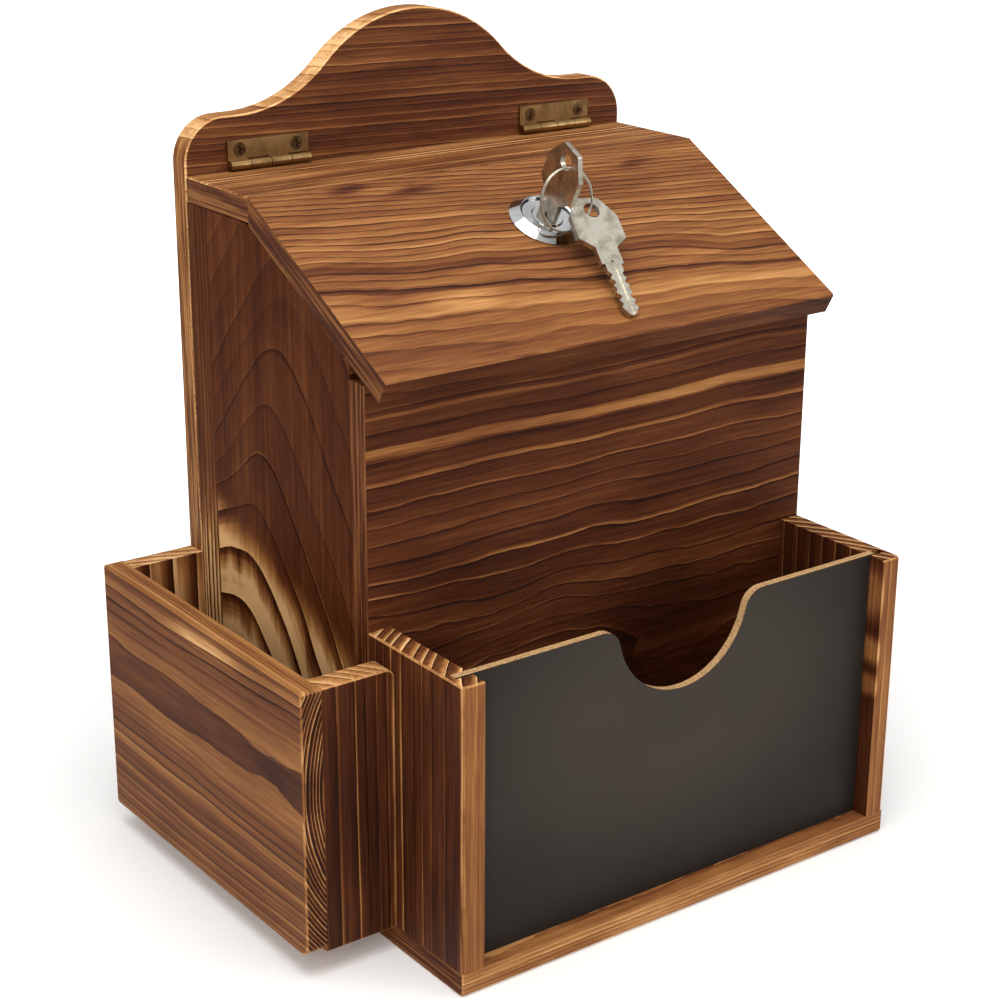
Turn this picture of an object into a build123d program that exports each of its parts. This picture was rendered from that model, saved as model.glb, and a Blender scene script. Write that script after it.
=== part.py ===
from build123d import *
import math
import os

# Suggestion box of torched softwood. Millimetres, +Z up, +X to the right, front towards -Y.
# The origin is on the table, below the middle of the front board's front face.

# Carcass
body_width = 200.0
body_depth = 116.0           # front board's front face to the back board's front face
lid_height = 252.0           # top of the lid's flat strip above the table
board = 9.0                  # thickness of the carcass boards
base_thickness = 9.0
back_thickness = 9.0
side_strip_width = 14.0      # narrow board glued to the rear of each side
eased_edge = 0.6             # sanded bevel along a board's corner
worn_edge = 2.0              # corners that hands and sandpaper have rounded

# Back board's arched top
shoulder_height = 272.0
shoulder_radius = 16.0
arch_rise = 33.0             # crown above the shoulders
shoulder_flat = 6.0          # level part between the arch and the shoulder's round corner
crown_radius = 56.0

# Lid
strip_depth = 44.0           # flat strip, from the bend back to the back board's face
nose_reach = 12.5            # how far the lid stands out past the front board
lid_drop = 46.0              # from the bend down to the nose
lid_thickness = 9.0
lid_gap = 0.4                # clearance between the shut lid and the boards below it
lid_back_gap = 0.6           # clearance between the strip and the back board
slip_slot_width = 120.0      # hand-cut dip in the front board's top, hidden behind the nose
slip_slot_depth = 5.5

# Cross rail that the cam hooks under
rail_setback = 3.0           # from the bend, down the slope
rail_width = 11.0
rail_lid_gap = 1.0
rail_cam_gap = 1.0           # between the rail and the cam that turns in below it

# Front pocket
front_pocket_depth = 55.0
cheek_height = 115.0         # above the table
panel_thickness = 3.0
panel_setback = 7.0          # from the cheeks' front ends
panel_height = 115.5         # above the table
panel_groove_depth = 7.0     # in the cheeks
panel_base_groove = 3.0      # in the base board
panel_fit = 0.1
panel_side_play = 5.0        # the panel is cut short and pushed to the left
notch_radius = 29.5
notch_shoulder = 8.0

# Side pocket
side_pocket_width = 37.0     # outer face beyond the body's left side
side_pocket_height = 99.0    # from its lower edge to its top
side_pocket_front = 16.0     # its front face stands this far before the front board
side_pocket_board = 9.0
side_pocket_outer = 8.0
side_pocket_floor_thickness = 6.0
pocket_corner = 5.0          # rounded lower front corner of the outer board
pocket_top_corner = 4.0      # worn top corner of the pocket's front board

# Hinges
hinge_spacing = 132.0        # between the two hinges' middles
hinge_width = 34.0
leaf_thickness = 1.0
leaf_height = 9.0            # from the pin's axis
knuckle_radius = 1.8
knuckle_count = 4
knuckle_gap = 0.3
pin_radius = 1.0
pin_fit = 0.02
running_fit = 0.08
pin_lift = 2.1               # pin's axis above the strip's top
pin_forward = 2.0            # pin's axis in front of the back board's face
leaf_screw_spacing = 24.0
leaf_screw_height = 5.4      # from the pin's axis
screw_shank_radius = 1.2
screw_shank_sides = 8
screw_length = 8.0
screw_head_radius = 2.6
screw_fit = 0.05
cross_length = 2.8
cross_width = 0.7
cross_depth = 0.8
recess_fit = 0.05            # beside a leaf, in the strip's rear edge

# Lock, in the slope board
lock_off_centre = 6.0
lock_down_slope = 34.0       # from the bend
lock_barrel_radius = 9.0
lock_hole_fit = 0.2
lock_barrel_length = 22.0    # below the lid's top face
lock_head_radius = 9.9
lock_head_thickness = 1.0
lock_soft_edge = 0.4
bezel_radius = 14.0
bezel_rim = 0.7
bezel_height = 3.3
bezel_flare = 3.4            # width of the sloping ring
bezel_floor = 1.1            # under the lock's head
bezel_fit = 0.1
plug_radius = 6.0
plug_stand = 0.6             # plug's face above the lock's head
nut_across_flats = 24.0
nut_thickness = 4.0
nut_fit = 0.1
cam_length = 28.0            # axis to tip
cam_width = 12.0
cam_thickness = 2.0
cam_gap = 0.5                # below the barrel's end
cam_square = 7.0
cam_fit = 0.05
cam_screw_radius = 2.0
cam_screw_head_radius = 4.0
cam_screw_head_height = 2.4
cam_screw_length = 4.0

# Keys and ring
key_thickness = 2.0
bow_width = 19.5
bow_top_width = 9.0
bow_height = 22.0
bow_top_corner = 8.0         # height of the slanted corners beside the top
bow_low_corner = 4.0         # height of the slanted corners above the collar
bow_round = 1.0
collar_width = 9.0
collar_height = 7.5
key_hole_radius = 3.2
key_hole_drop = 5.5          # hole's middle below the bow's top
blade_width = 6.6
blade_length = 22.0
blade_tip = 3.0              # height of the pointed end
blade_tip_width = 2.6
cut_depths = (0.9, 1.5, 0.7, 1.3, 1.0)
cut_pitch = 3.2
cut_flat = 0.8               # bottom width of a cut
groove_width = 1.4
groove_depth = 0.5
keyway_fit = 0.15
ring_radius = 11.4           # middle of the wire
ring_wire_radius = 0.7
ring_wire_sides = 6
ring_play = 0.35             # between the wire and the edge of the key's hole
ring_lean = 3.0              # degrees that the ring leans out from hanging straight down
key_along_ring = 175.0       # degrees from the ring's lowest point to the key in the lock
spare_along_ring = 65.0      # degrees from the ring's lowest point to the spare key
spare_aside = 8.0            # spare key's tip, left of its hole
spare_tip_lift = 0.4         # spare key's tip above the lid
spare_hole_play = 0.9        # spare key's hole to the wire, which crosses it aslant

# Worked out from the values above
half_width = body_width / 2
arch_half_span = half_width - shoulder_radius - shoulder_flat
back_rear = body_depth + back_thickness
bend_y = body_depth - strip_depth
nose_run = bend_y + nose_reach
slope_angle = math.atan2(lid_drop, nose_run)
inner_half_width = half_width - board
side_split_y = body_depth - side_strip_width
pocket_bottom = base_thickness
pocket_top = pocket_bottom + side_pocket_height
pocket_outer_x = -half_width - side_pocket_width
pocket_inner_x = pocket_outer_x + side_pocket_outer
panel_front_y = -front_pocket_depth + panel_setback
panel_rear_y = panel_front_y + panel_thickness
pin_y = body_depth - pin_forward
pin_z = lid_height + pin_lift
hinge_middles = {"left": -hinge_spacing / 2, "right": hinge_spacing / 2}
knuckle_pitch = hinge_width / knuckle_count

# The slope's own frame: x to the right, y up the slope, z out of the lid's top face
slope = Plane(
    origin=(0, bend_y, lid_height),
    x_dir=(1, 0, 0),
    z_dir=(0, -math.sin(slope_angle), math.cos(slope_angle)),
).location
lock_frame = slope * Pos(lock_off_centre, -lock_down_slope, 0)


def slope_top(y):
    """Height of the slope board's top face at depth y."""
    return lid_height - (bend_y - y) * math.tan(slope_angle)


def rest_height(y):
    """Height of the boards that the shut lid lies on, at depth y."""
    under_strip = lid_height - lid_thickness - lid_gap
    under_slope = slope_top(y) - (lid_thickness + lid_gap) / math.cos(slope_angle)
    return min(under_strip, under_slope)


def bend_under_lid():
    """Depth at which the boards below the lid change from level to sloping."""
    drop = (lid_thickness + lid_gap) * (1 / math.cos(slope_angle) - 1)
    return bend_y + drop / math.tan(slope_angle)


def block(low, high):
    """A square-cut board between two corners."""
    size = [high[i] - low[i] for i in range(3)]
    middle = [(high[i] + low[i]) / 2 for i in range(3)]
    return Pos(*middle) * Box(*size)


def edges_at(solid, **place):
    """Straight edges of a solid that lie at the given x, y or z values."""
    found = []
    for edge in solid.edges().filter_by(GeomType.LINE):
        ends = (edge @ 0, edge @ 1)
        if all(abs(getattr(end, axis.upper()) - value) < 0.01
               for end in ends for axis, value in place.items()):
            found.append(edge)
    return found


def chosen_edges(solid, places):
    """Straight edges at any of the given places."""
    return [edge for place in places for edge in edges_at(solid, **place)]


def rounded(solid, radius, *places):
    """The solid with the edges at each of the given places rounded."""
    return fillet(chosen_edges(solid, places), radius)


def eased(solid, *places):
    """The solid with a sanded bevel along the edges at each of the given places."""
    return chamfer(chosen_edges(solid, places), eased_edge)


def side_face(points):
    """A flat face drawn in depth and height, at x = 0."""
    return Plane.YZ * make_face(Polyline(*points, close=True))


def extrude_across(face, x_low, x_high):
    """A face drawn at x = 0, made solid from x_low to x_high."""
    return Pos(x_low, 0, 0) * extrude(face, x_high - x_low, dir=(1, 0, 0))


# Carcass

def arch_half():
    """Right half of the arched top: inflection and the arcs' middles."""
    lean = 2 * math.atan2(arch_rise, arch_half_span)
    hollow_radius = arch_half_span / math.sin(lean) - crown_radius
    turn_x = crown_radius * math.sin(lean)
    turn_z = shoulder_height + arch_rise - crown_radius * (1 - math.cos(lean))
    return lean, hollow_radius, turn_x, turn_z


def back_board():
    """Full-height board with rounded shoulders and an arched crown."""
    lean, hollow_radius, turn_x, turn_z = arch_half()
    crown_z = shoulder_height + arch_rise
    crown_mid = Vector(crown_radius * math.sin(lean / 2),
                       crown_z - crown_radius * (1 - math.cos(lean / 2)))
    hollow_mid = Vector(arch_half_span - hollow_radius * math.sin(lean / 2),
                        shoulder_height + hollow_radius * (1 - math.cos(lean / 2)))
    corner_mid = Vector(half_width - shoulder_radius * (1 - math.sin(math.pi / 4)),
                        shoulder_height - shoulder_radius * (1 - math.sin(math.pi / 4)))
    side_top = shoulder_height - shoulder_radius
    outline = []
    for sign in (1, -1):
        crown = (0, crown_z)
        turn = (sign * turn_x, turn_z)
        foot = (sign * arch_half_span, shoulder_height)
        corner = (sign * (half_width - shoulder_radius), shoulder_height)
        side = (sign * half_width, side_top)
        outline += [
            ThreePointArc(crown, (sign * crown_mid.X, crown_mid.Y), turn),
            ThreePointArc(turn, (sign * hollow_mid.X, hollow_mid.Y), foot),
            Line(foot, corner),
            ThreePointArc(corner, (sign * corner_mid.X, corner_mid.Y), side),
            Line(side, (sign * half_width, 0)),
        ]
    outline.append(Line((-half_width, 0), (half_width, 0)))
    face = Plane((0, back_rear, 0), x_dir=(1, 0, 0), z_dir=(0, -1, 0)) * make_face(Curve() + outline)
    board_solid = extrude(face, back_thickness)
    rim = [edge for edge in board_solid.edges()
           if abs(edge.center().Y - body_depth) < 0.01 and edge.center().Z > pocket_top]
    board_solid = chamfer(rim, eased_edge)
    for x in leaf_screw_places():
        board_solid -= pilot_hole(x, body_depth - leaf_thickness, pin_z + leaf_screw_height, 1)
    return board_solid


def side_board(side):
    """Main board of a side, cut to the lid's bend."""
    front = board
    points = [
        (front, base_thickness),
        (side_split_y, base_thickness),
        (side_split_y, rest_height(side_split_y)),
        (bend_under_lid(), rest_height(side_split_y)),
        (front, rest_height(front)),
    ]
    x_low, x_high = side_span(side)
    return extrude_across(side_face(points), x_low, x_high)


def side_strip(side):
    """Narrow board glued to the side board's rear edge."""
    x_low, x_high = side_span(side)
    return block((x_low, side_split_y, base_thickness), (x_high, body_depth, rest_height(side_split_y)))


def side_span(side):
    """Inner and outer faces of a side, from left to right."""
    if side == "left":
        return -half_width, -inner_half_width
    return inner_half_width, half_width


def front_board():
    """Front of the box, with a dip in its top for slips of paper."""
    top = rest_height(0)
    solid = block((-half_width, 0, base_thickness), (half_width, board, top))
    solid = eased(solid, dict(x=half_width, y=0))
    dip = block((-slip_slot_width / 2, -1, top - slip_slot_depth), (slip_slot_width / 2, board + 1, top + 1))
    return solid - dip


def base_board():
    """One board under the box and its front pocket, grooved for the blackboard panel."""
    solid = block((-half_width, -front_pocket_depth, 0), (half_width, body_depth, base_thickness))
    front = -front_pocket_depth
    solid = rounded(solid, worn_edge, dict(y=front, z=0))
    solid = eased(solid, dict(x=-half_width, y=front), dict(x=half_width, y=front))
    groove = block(
        (-inner_half_width, panel_front_y - panel_fit, base_thickness - panel_base_groove - panel_fit),
        (inner_half_width, panel_rear_y + panel_fit, base_thickness + 1),
    )
    return solid - groove


def cross_rail():
    """Bar between the sides, close under the slope board."""
    top_n = -lid_thickness - rail_lid_gap
    rail_thickness = top_n - (cam_top() + rail_cam_gap)
    middle_n = top_n - rail_thickness / 2
    middle_up = -rail_setback - rail_width / 2
    return slope * Pos(0, middle_up, middle_n) * Box(2 * inner_half_width, rail_width, rail_thickness)


# Front pocket

def cheek(side):
    """Upright end of the front pocket, grooved for the panel."""
    x_low, x_high = side_span(side)
    outer = x_low if side == "left" else x_high
    front = -front_pocket_depth
    solid = block((x_low, front, base_thickness), (x_high, 0, cheek_height))
    solid = rounded(solid, worn_edge, dict(x=outer, y=front))
    solid = eased(solid, dict(x=outer, z=cheek_height), dict(y=front, z=cheek_height))
    inner = x_high if side == "left" else x_low
    step = 1 if side == "left" else -1
    groove_end = inner - step * panel_groove_depth
    groove = block(
        (min(inner + step, groove_end), panel_front_y - panel_fit, base_thickness - 1),
        (max(inner + step, groove_end), panel_rear_y + panel_fit, cheek_height + 1),
    )
    return solid - groove


def blackboard_panel():
    """Thin panel with a round finger notch, held in the grooves of cheeks and base."""
    left = -inner_half_width - panel_groove_depth + panel_fit
    right = inner_half_width + panel_groove_depth - panel_side_play
    low = base_thickness - panel_base_groove
    tongue = inner_half_width - panel_fit
    face_points = [
        (left, base_thickness + panel_fit), (-tongue, base_thickness + panel_fit), (-tongue, low),
        (tongue, low), (tongue, base_thickness + panel_fit), (right, base_thickness + panel_fit),
        (right, panel_height), (left, panel_height),
    ]
    plane = Plane((0, panel_rear_y, 0), x_dir=(1, 0, 0), z_dir=(0, -1, 0))
    sheet = make_face(Polyline(*face_points, close=True)) - Pos(0, panel_height) * Circle(notch_radius)
    shoulders = [v for v in sheet.vertices()
                 if abs(v.Y - panel_height) < 0.01 and abs(abs(v.X) - notch_radius) < 0.01]
    sheet = fillet(shoulders, notch_shoulder)
    return extrude(plane * sheet, panel_thickness)


# Side pocket

def side_pocket_outer_board():
    """Long outer board, with a rounded lower front corner."""
    front = -side_pocket_front
    solid = block((pocket_outer_x, front, pocket_bottom), (pocket_inner_x, back_rear, pocket_top))
    solid = rounded(solid, pocket_corner, dict(y=front, z=pocket_bottom))
    solid = rounded(solid, worn_edge, dict(y=front, z=pocket_top), dict(y=back_rear, z=pocket_bottom))
    outer_rim = [edge for edge in solid.edges() if abs(edge.center().X - pocket_outer_x) < 0.01]
    return chamfer(outer_rim, eased_edge)


def side_pocket_front_board():
    """Short board across the pocket's front, against the left cheek."""
    front = -side_pocket_front
    rear = front + side_pocket_board
    solid = block((pocket_inner_x, front, pocket_bottom), (-half_width, rear, pocket_top))
    solid = rounded(solid, pocket_top_corner, dict(x=-half_width, z=pocket_top))
    return eased(solid, dict(y=front, z=pocket_top), dict(y=front, z=pocket_bottom))


def side_pocket_rear_board():
    """Short board across the pocket's rear, flush with the back board."""
    front = back_rear - side_pocket_board
    solid = block((pocket_inner_x, front, pocket_bottom), (-half_width, back_rear, pocket_top))
    return eased(solid, dict(y=back_rear, z=pocket_top))


def side_pocket_floor():
    """Floor let in between the pocket's boards."""
    return block(
        (pocket_inner_x, -side_pocket_front + side_pocket_board, pocket_bottom),
        (-half_width, back_rear - side_pocket_board, pocket_bottom + side_pocket_floor_thickness),
    )


# Hinges

def along_x(radius, length):
    """A cylinder along X, centred."""
    return Rot(0, 90, 0) * Cylinder(radius, length)


def knuckle_span(middle, number):
    """Left and right ends of one knuckle, with half the running gap at each end."""
    left = middle - hinge_width / 2 + number * knuckle_pitch
    return left + knuckle_gap / 2, left + knuckle_pitch - knuckle_gap / 2


def hinge_leaf(middle, first_knuckle, plate_y, direction, bore_radius):
    """A leaf with every second knuckle; direction is 1 for up and -1 for down."""
    clear = direction * (knuckle_radius + knuckle_gap)
    far = direction * leaf_height
    rear_y = plate_y + leaf_thickness
    low, high = sorted((pin_z + clear, pin_z + far))
    leaf = block((middle - hinge_width / 2, plate_y, low), (middle + hinge_width / 2, rear_y, high))
    for number in range(first_knuckle, knuckle_count, 2):
        left, right = knuckle_span(middle, number)
        low, high = sorted((pin_z, pin_z + clear))
        leaf += Pos((left + right) / 2, pin_y, pin_z) * along_x(knuckle_radius, right - left)
        leaf += block((left, plate_y, low), (right, rear_y, high))
    leaf -= Pos(middle, pin_y, pin_z) * along_x(bore_radius, hinge_width + 2)
    return leaf


def leaf_screw_places():
    """Screw positions along X for both hinges."""
    sides = (-leaf_screw_spacing / 2, leaf_screw_spacing / 2)
    return [middle + aside for middle in hinge_middles.values() for aside in sides]


def shank(radius, length):
    """Straight many-sided shank that ends at the origin, pointing down."""
    return Pos(0, 0, -length) * extrude(RegularPolygon(radius, screw_shank_sides), length)


def leaf_screw(direction):
    """Countersunk screw in its own frame; direction 1 drives it towards +Y."""
    head = turned([
        (0, -leaf_thickness), (screw_shank_radius, -leaf_thickness), (screw_head_radius, 0), (0, 0),
    ])
    body = head + Pos(0, 0, -leaf_thickness) * shank(screw_shank_radius, screw_length - leaf_thickness)
    for turn in (0, 90):
        body -= Rot(0, 0, turn) * Box(cross_length, cross_width, 2 * cross_depth)
    return Rot(90 * direction, 0, 0) * body


def pilot_hole(x, head_y, z, direction):
    """Space in the wood for the shank of a leaf screw whose head lies at head_y."""
    hole = shank(screw_shank_radius + screw_fit, screw_length + screw_fit)
    return Pos(x, head_y, z) * Rot(90 * direction, 0, 0) * hole


def countersink(x, head_y, z, direction):
    """Space in a leaf for the head of a leaf screw."""
    hole = Cone(screw_shank_radius + screw_fit, screw_head_radius + screw_fit, leaf_thickness)
    return Pos(x, head_y, z) * Rot(90 * direction, 0, 0) * Pos(0, 0, -leaf_thickness / 2) * hole


def hinge_fixed_leaf(side):
    """Leaf on the back board's face."""
    plate_y = body_depth - leaf_thickness
    leaf = hinge_leaf(hinge_middles[side], 0, plate_y, 1, pin_radius + pin_fit)
    for x in leaf_screw_places():
        leaf -= countersink(x, plate_y, pin_z + leaf_screw_height, 1)
    return leaf


def hinge_lid_leaf(side):
    """Leaf let into the strip's rear edge."""
    plate_y = strip_rear() - leaf_thickness
    leaf = hinge_leaf(hinge_middles[side], 1, plate_y, -1, pin_radius + running_fit)
    for x in leaf_screw_places():
        leaf -= countersink(x, strip_rear(), pin_z - leaf_screw_height, -1)
    return leaf


def hinge_pin(side):
    """Pin through all four knuckles."""
    return Pos(hinge_middles[side], pin_y, pin_z) * along_x(pin_radius, hinge_width)


def leaf_screws(head_y, z, direction):
    """The four screws of one pair of leaves."""
    return Compound([Pos(x, head_y, z) * leaf_screw(direction) for x in leaf_screw_places()])


# Lid

def strip_rear():
    """Depth of the strip's rear edge."""
    return body_depth - lid_back_gap


def lid_top_strip():
    """Flat rear part of the lid, with recesses for the hinge leaves."""
    low = lid_height - lid_thickness
    solid = block((-half_width, bend_y, low), (half_width, strip_rear(), lid_height))
    solid = eased(solid, dict(x=-half_width, z=lid_height), dict(x=half_width, z=lid_height))
    for middle in hinge_middles.values():
        solid -= block(
            (middle - hinge_width / 2 - recess_fit, strip_rear() - leaf_thickness, low - 1),
            (middle + hinge_width / 2 + recess_fit, body_depth, lid_height + 1),
        )
    for x in leaf_screw_places():
        solid -= pilot_hole(x, strip_rear(), pin_z - leaf_screw_height, -1)
    return solid


def lid_slope_board():
    """Sloping part of the lid, cut upright at the bend and square at the nose."""
    nose_y = -nose_reach
    nose_z = lid_height - lid_drop
    lean_y = lid_thickness * math.sin(slope_angle)
    lean_z = lid_thickness * math.cos(slope_angle)
    points = [
        (bend_y, lid_height),
        (nose_y, nose_z),
        (nose_y + lean_y, nose_z - lean_z),
        (bend_y, lid_height - lid_thickness / math.cos(slope_angle)),
    ]
    solid = extrude_across(side_face(points), -half_width, half_width)
    solid = eased(solid, dict(y=nose_y, z=nose_z), dict(y=nose_y + lean_y, z=nose_z - lean_z))
    hole = Cylinder(lock_barrel_radius + lock_hole_fit, 4 * lid_thickness)
    return solid - lock_frame * hole


# Lock

def turned(points):
    """A solid turned about the lock's axis from radius and height points."""
    return revolve(Plane.XZ * make_face(Polyline(*points, close=True)), Axis.Z)


def head_low():
    """Height of the lock head's underside above the lid."""
    return bezel_floor + bezel_fit


def head_top():
    """Height of the lock head's face above the lid."""
    return head_low() + lock_head_thickness


def lock_housing():
    """Barrel and low round head, bored for the plug."""
    bore = plug_radius + running_fit
    body = turned([
        (bore, -lock_barrel_length), (lock_barrel_radius, -lock_barrel_length),
        (lock_barrel_radius, head_low()), (lock_head_radius, head_low()),
        (lock_head_radius, head_top() - lock_soft_edge),
        (lock_head_radius - lock_soft_edge, head_top()), (bore, head_top()),
    ])
    return lock_frame * body


def lock_bezel():
    """Flared dish on the wood, with the lock's head sunk in it."""
    inside = lock_barrel_radius + bezel_fit
    throat = lock_head_radius + bezel_fit
    crest = bezel_radius - bezel_flare
    body = turned([
        (inside, 0), (bezel_radius, 0), (bezel_radius, bezel_rim), (crest, bezel_height),
        (throat, bezel_height - (crest - throat) / 2), (throat, bezel_floor), (inside, bezel_floor),
    ])
    return lock_frame * body


def lock_nut():
    """Six-sided nut against the lid's underside."""
    hexagon = extrude(RegularPolygon(nut_across_flats / 2, 6, major_radius=False), nut_thickness)
    hexagon -= Cylinder(lock_barrel_radius + nut_fit, 4 * nut_thickness)
    return lock_frame * Pos(0, 0, -lid_thickness - nut_thickness) * hexagon


def cam_top():
    """Height of the cam's upper face in the lock's frame."""
    return -lock_barrel_length - cam_gap


def lock_plug():
    """Plug with its keyway, and a square end for the cam."""
    face = plug_face()
    plug = turned([
        (0, cam_top()), (plug_radius, cam_top()), (plug_radius, face - lock_soft_edge),
        (plug_radius - lock_soft_edge, face), (0, face),
    ])
    plug += Pos(0, 0, cam_top() - cam_thickness / 2) * Box(cam_square, cam_square, cam_thickness)
    keyway_depth = blade_length + keyway_fit - (key_seat() - face)
    keyway = Box(
        key_thickness + 2 * keyway_fit, blade_width + 2 * keyway_fit, keyway_depth + 1,
        align=(Align.CENTER, Align.CENTER, Align.MIN),
    )
    plug -= Pos(0, 0, face - keyway_depth) * keyway
    plug -= Pos(0, 0, cam_top() - cam_thickness) * Cylinder(cam_screw_radius + cam_fit, 2 * cam_hole_depth())
    return lock_frame * plug


def cam_hole_depth():
    """Depth of the cam screw's hole from the cam's lower face."""
    return cam_screw_length + cam_fit


def lock_cam():
    """Flat cam with round ends on the plug's square end, pointing left when unlocked."""
    between_ends = cam_length - cam_width / 2
    flat = Pos(-between_ends / 2, 0) * SlotCenterToCenter(between_ends, cam_width)
    flat -= Rectangle(cam_square + 2 * cam_fit, cam_square + 2 * cam_fit)
    return lock_frame * Pos(0, 0, cam_top() - cam_thickness) * extrude(flat, cam_thickness)


def cam_screw():
    """Screw that holds the cam on the plug."""
    low = cam_top() - cam_thickness
    body = turned([
        (0, low - cam_screw_head_height), (cam_screw_head_radius, low - cam_screw_head_height),
        (cam_screw_head_radius, low - cam_fit),
        (cam_screw_radius, low - cam_fit), (cam_screw_radius, low - cam_fit + cam_screw_length),
        (0, low - cam_fit + cam_screw_length),
    ])
    slot = Box(3 * cam_screw_head_radius, cross_width, 2 * cross_depth)
    return lock_frame * (body - Pos(0, 0, low - cam_screw_head_height) * slot)


# Keys

def plug_face():
    """Height of the plug's face above the lid."""
    return head_top() + plug_stand


def key_seat():
    """Height of the key's collar above the lid, with the key pushed home."""
    return plug_face() + keyway_fit


def key_edge():
    """One edge of the key from the tip to the bow's top, as half-width and height."""
    half_blade = blade_width / 2
    height = -blade_length + blade_tip
    points = [(blade_tip_width / 2, -blade_length), (half_blade, height)]
    for depth in cut_depths:
        slant = (cut_pitch - cut_flat) / 2
        points += [(half_blade - depth, height + slant), (half_blade - depth, height + slant + cut_flat)]
        height += cut_pitch
        points.append((half_blade, height))
    points += [
        (half_blade, 0), (collar_width / 2, 0), (collar_width / 2, collar_height),
        (bow_width / 2, collar_height + bow_low_corner),
        (bow_width / 2, collar_height + bow_height - bow_top_corner),
        (bow_top_width / 2, collar_height + bow_height),
    ]
    return points


def key_hole_height():
    """Middle of the bow's hole above the collar's foot."""
    return collar_height + bow_height - key_hole_drop


def key_body():
    """A key in its own frame: flat in YZ, bow upwards, the collar's foot at the origin."""
    right = key_edge()
    left = [(-y, z) for y, z in reversed(right)]
    outline = make_face(Polyline(*right, *left, close=True))
    bow_corners = [v for v in outline.vertices() if v.Y > collar_height + bow_low_corner / 2]
    outline = fillet(bow_corners, bow_round)
    key = extrude(Plane.YZ * outline, key_thickness / 2, both=True)
    key -= Pos(0, 0, key_hole_height()) * along_x(key_hole_radius, 4 * key_thickness)
    for sign in (-1, 1):
        face = sign * key_thickness / 2
        middle = (face, 0, -blade_length / 2)
        key -= Pos(*middle) * Box(2 * groove_depth, groove_width, blade_length + 2 * groove_width)
    return key


def key_in_lock():
    """The key pushed home in the plug."""
    return lock_frame * Pos(0, 0, key_seat()) * key_body()


def hang_direction():
    """From the ring's top to its lowest point, in the lock's frame."""
    angle = slope_angle + math.radians(ring_lean)
    return Vector(0, -math.sin(angle), -math.cos(angle))


def round_ring(degrees):
    """From the ring's middle to the wire, so many degrees from its lowest point."""
    turn = math.radians(degrees)
    across = Vector(1, 0, 0) * math.sin(turn)
    return (across + hang_direction() * math.cos(turn)) * ring_radius


def ring_hook():
    """Where the ring passes through the key's hole, in the lock's frame."""
    play = key_hole_radius - ring_wire_radius - ring_play
    return Vector(0, 0, key_seat() + key_hole_height()) + hang_direction() * play


def ring_middle():
    """Middle of the ring."""
    return ring_hook() - round_ring(key_along_ring)


def ring_frame():
    """The ring's own frame inside the lock's frame: x to the right, y up, z out of the ring."""
    normal = Vector(1, 0, 0).cross(hang_direction() * -1)
    return Plane(origin=ring_middle(), x_dir=(1, 0, 0), z_dir=normal).location


def key_ring():
    """Ring of thin wire."""
    wire = Pos(ring_radius, 0) * RegularPolygon(ring_wire_radius, ring_wire_sides)
    return lock_frame * ring_frame() * revolve(Plane.XZ * wire, Axis.Z)


def spare_hook():
    """Where the spare key hangs on the ring, in the lock's frame."""
    return ring_middle() + round_ring(spare_along_ring)


def spare_frame():
    """The spare key's own frame in the lock's frame: its tip rests just over the lid."""
    hook = spare_hook()
    reach = blade_length + key_hole_height() + spare_hole_play
    fall = hook.Z - spare_tip_lift - key_thickness / 2
    down_slope = math.sqrt(reach ** 2 - fall ** 2 - spare_aside ** 2)
    along = Vector(-spare_aside, -down_slope, -fall).normalized()
    flat_normal = (Vector(0, 0, 1) - along * along.Z).normalized()
    foot = hook + along * (spare_hole_play + key_hole_height())
    return Plane(origin=foot, x_dir=flat_normal, z_dir=along * -1).location


def spare_key():
    """The second key, lying on the slope."""
    return lock_frame * spare_frame() * key_body()


def write_parts():
    """Builds every piece and writes one file for each."""
    os.makedirs("parts", exist_ok=True)
    fixed_screw_height = pin_z + leaf_screw_height
    lid_screw_height = pin_z - leaf_screw_height
    pieces = {
        "back_board": back_board(),
        "front_board": front_board(),
        "base_board": base_board(),
        "cross_rail": cross_rail(),
        "blackboard_panel": blackboard_panel(),
        "side_pocket_outer_board": side_pocket_outer_board(),
        "side_pocket_front_board": side_pocket_front_board(),
        "side_pocket_rear_board": side_pocket_rear_board(),
        "side_pocket_floor": side_pocket_floor(),
        "fixed_leaf_screws": leaf_screws(body_depth - leaf_thickness, fixed_screw_height, 1),
        "lid_top_strip": lid_top_strip(),
        "lid_slope_board": lid_slope_board(),
        "lid_leaf_screws": leaf_screws(strip_rear(), lid_screw_height, -1),
        "lock_housing": lock_housing(),
        "lock_bezel": lock_bezel(),
        "lock_nut": lock_nut(),
        "lock_plug": lock_plug(),
        "lock_cam": lock_cam(),
        "cam_screw": cam_screw(),
        "key": key_in_lock(),
        "key_ring": key_ring(),
        "spare_key": spare_key(),
    }
    for side in ("left", "right"):
        pieces[side + "_side_board"] = side_board(side)
        pieces[side + "_side_strip"] = side_strip(side)
        pieces[side + "_cheek"] = cheek(side)
        pieces[side + "_hinge_fixed_leaf"] = hinge_fixed_leaf(side)
        pieces[side + "_hinge_lid_leaf"] = hinge_lid_leaf(side)
        pieces[side + "_hinge_pin"] = hinge_pin(side)
    for name, solid in pieces.items():
        export_step(solid, "parts/" + name + ".step")


write_parts()
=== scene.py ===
import bpy
import math
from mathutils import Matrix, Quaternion, Vector


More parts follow.
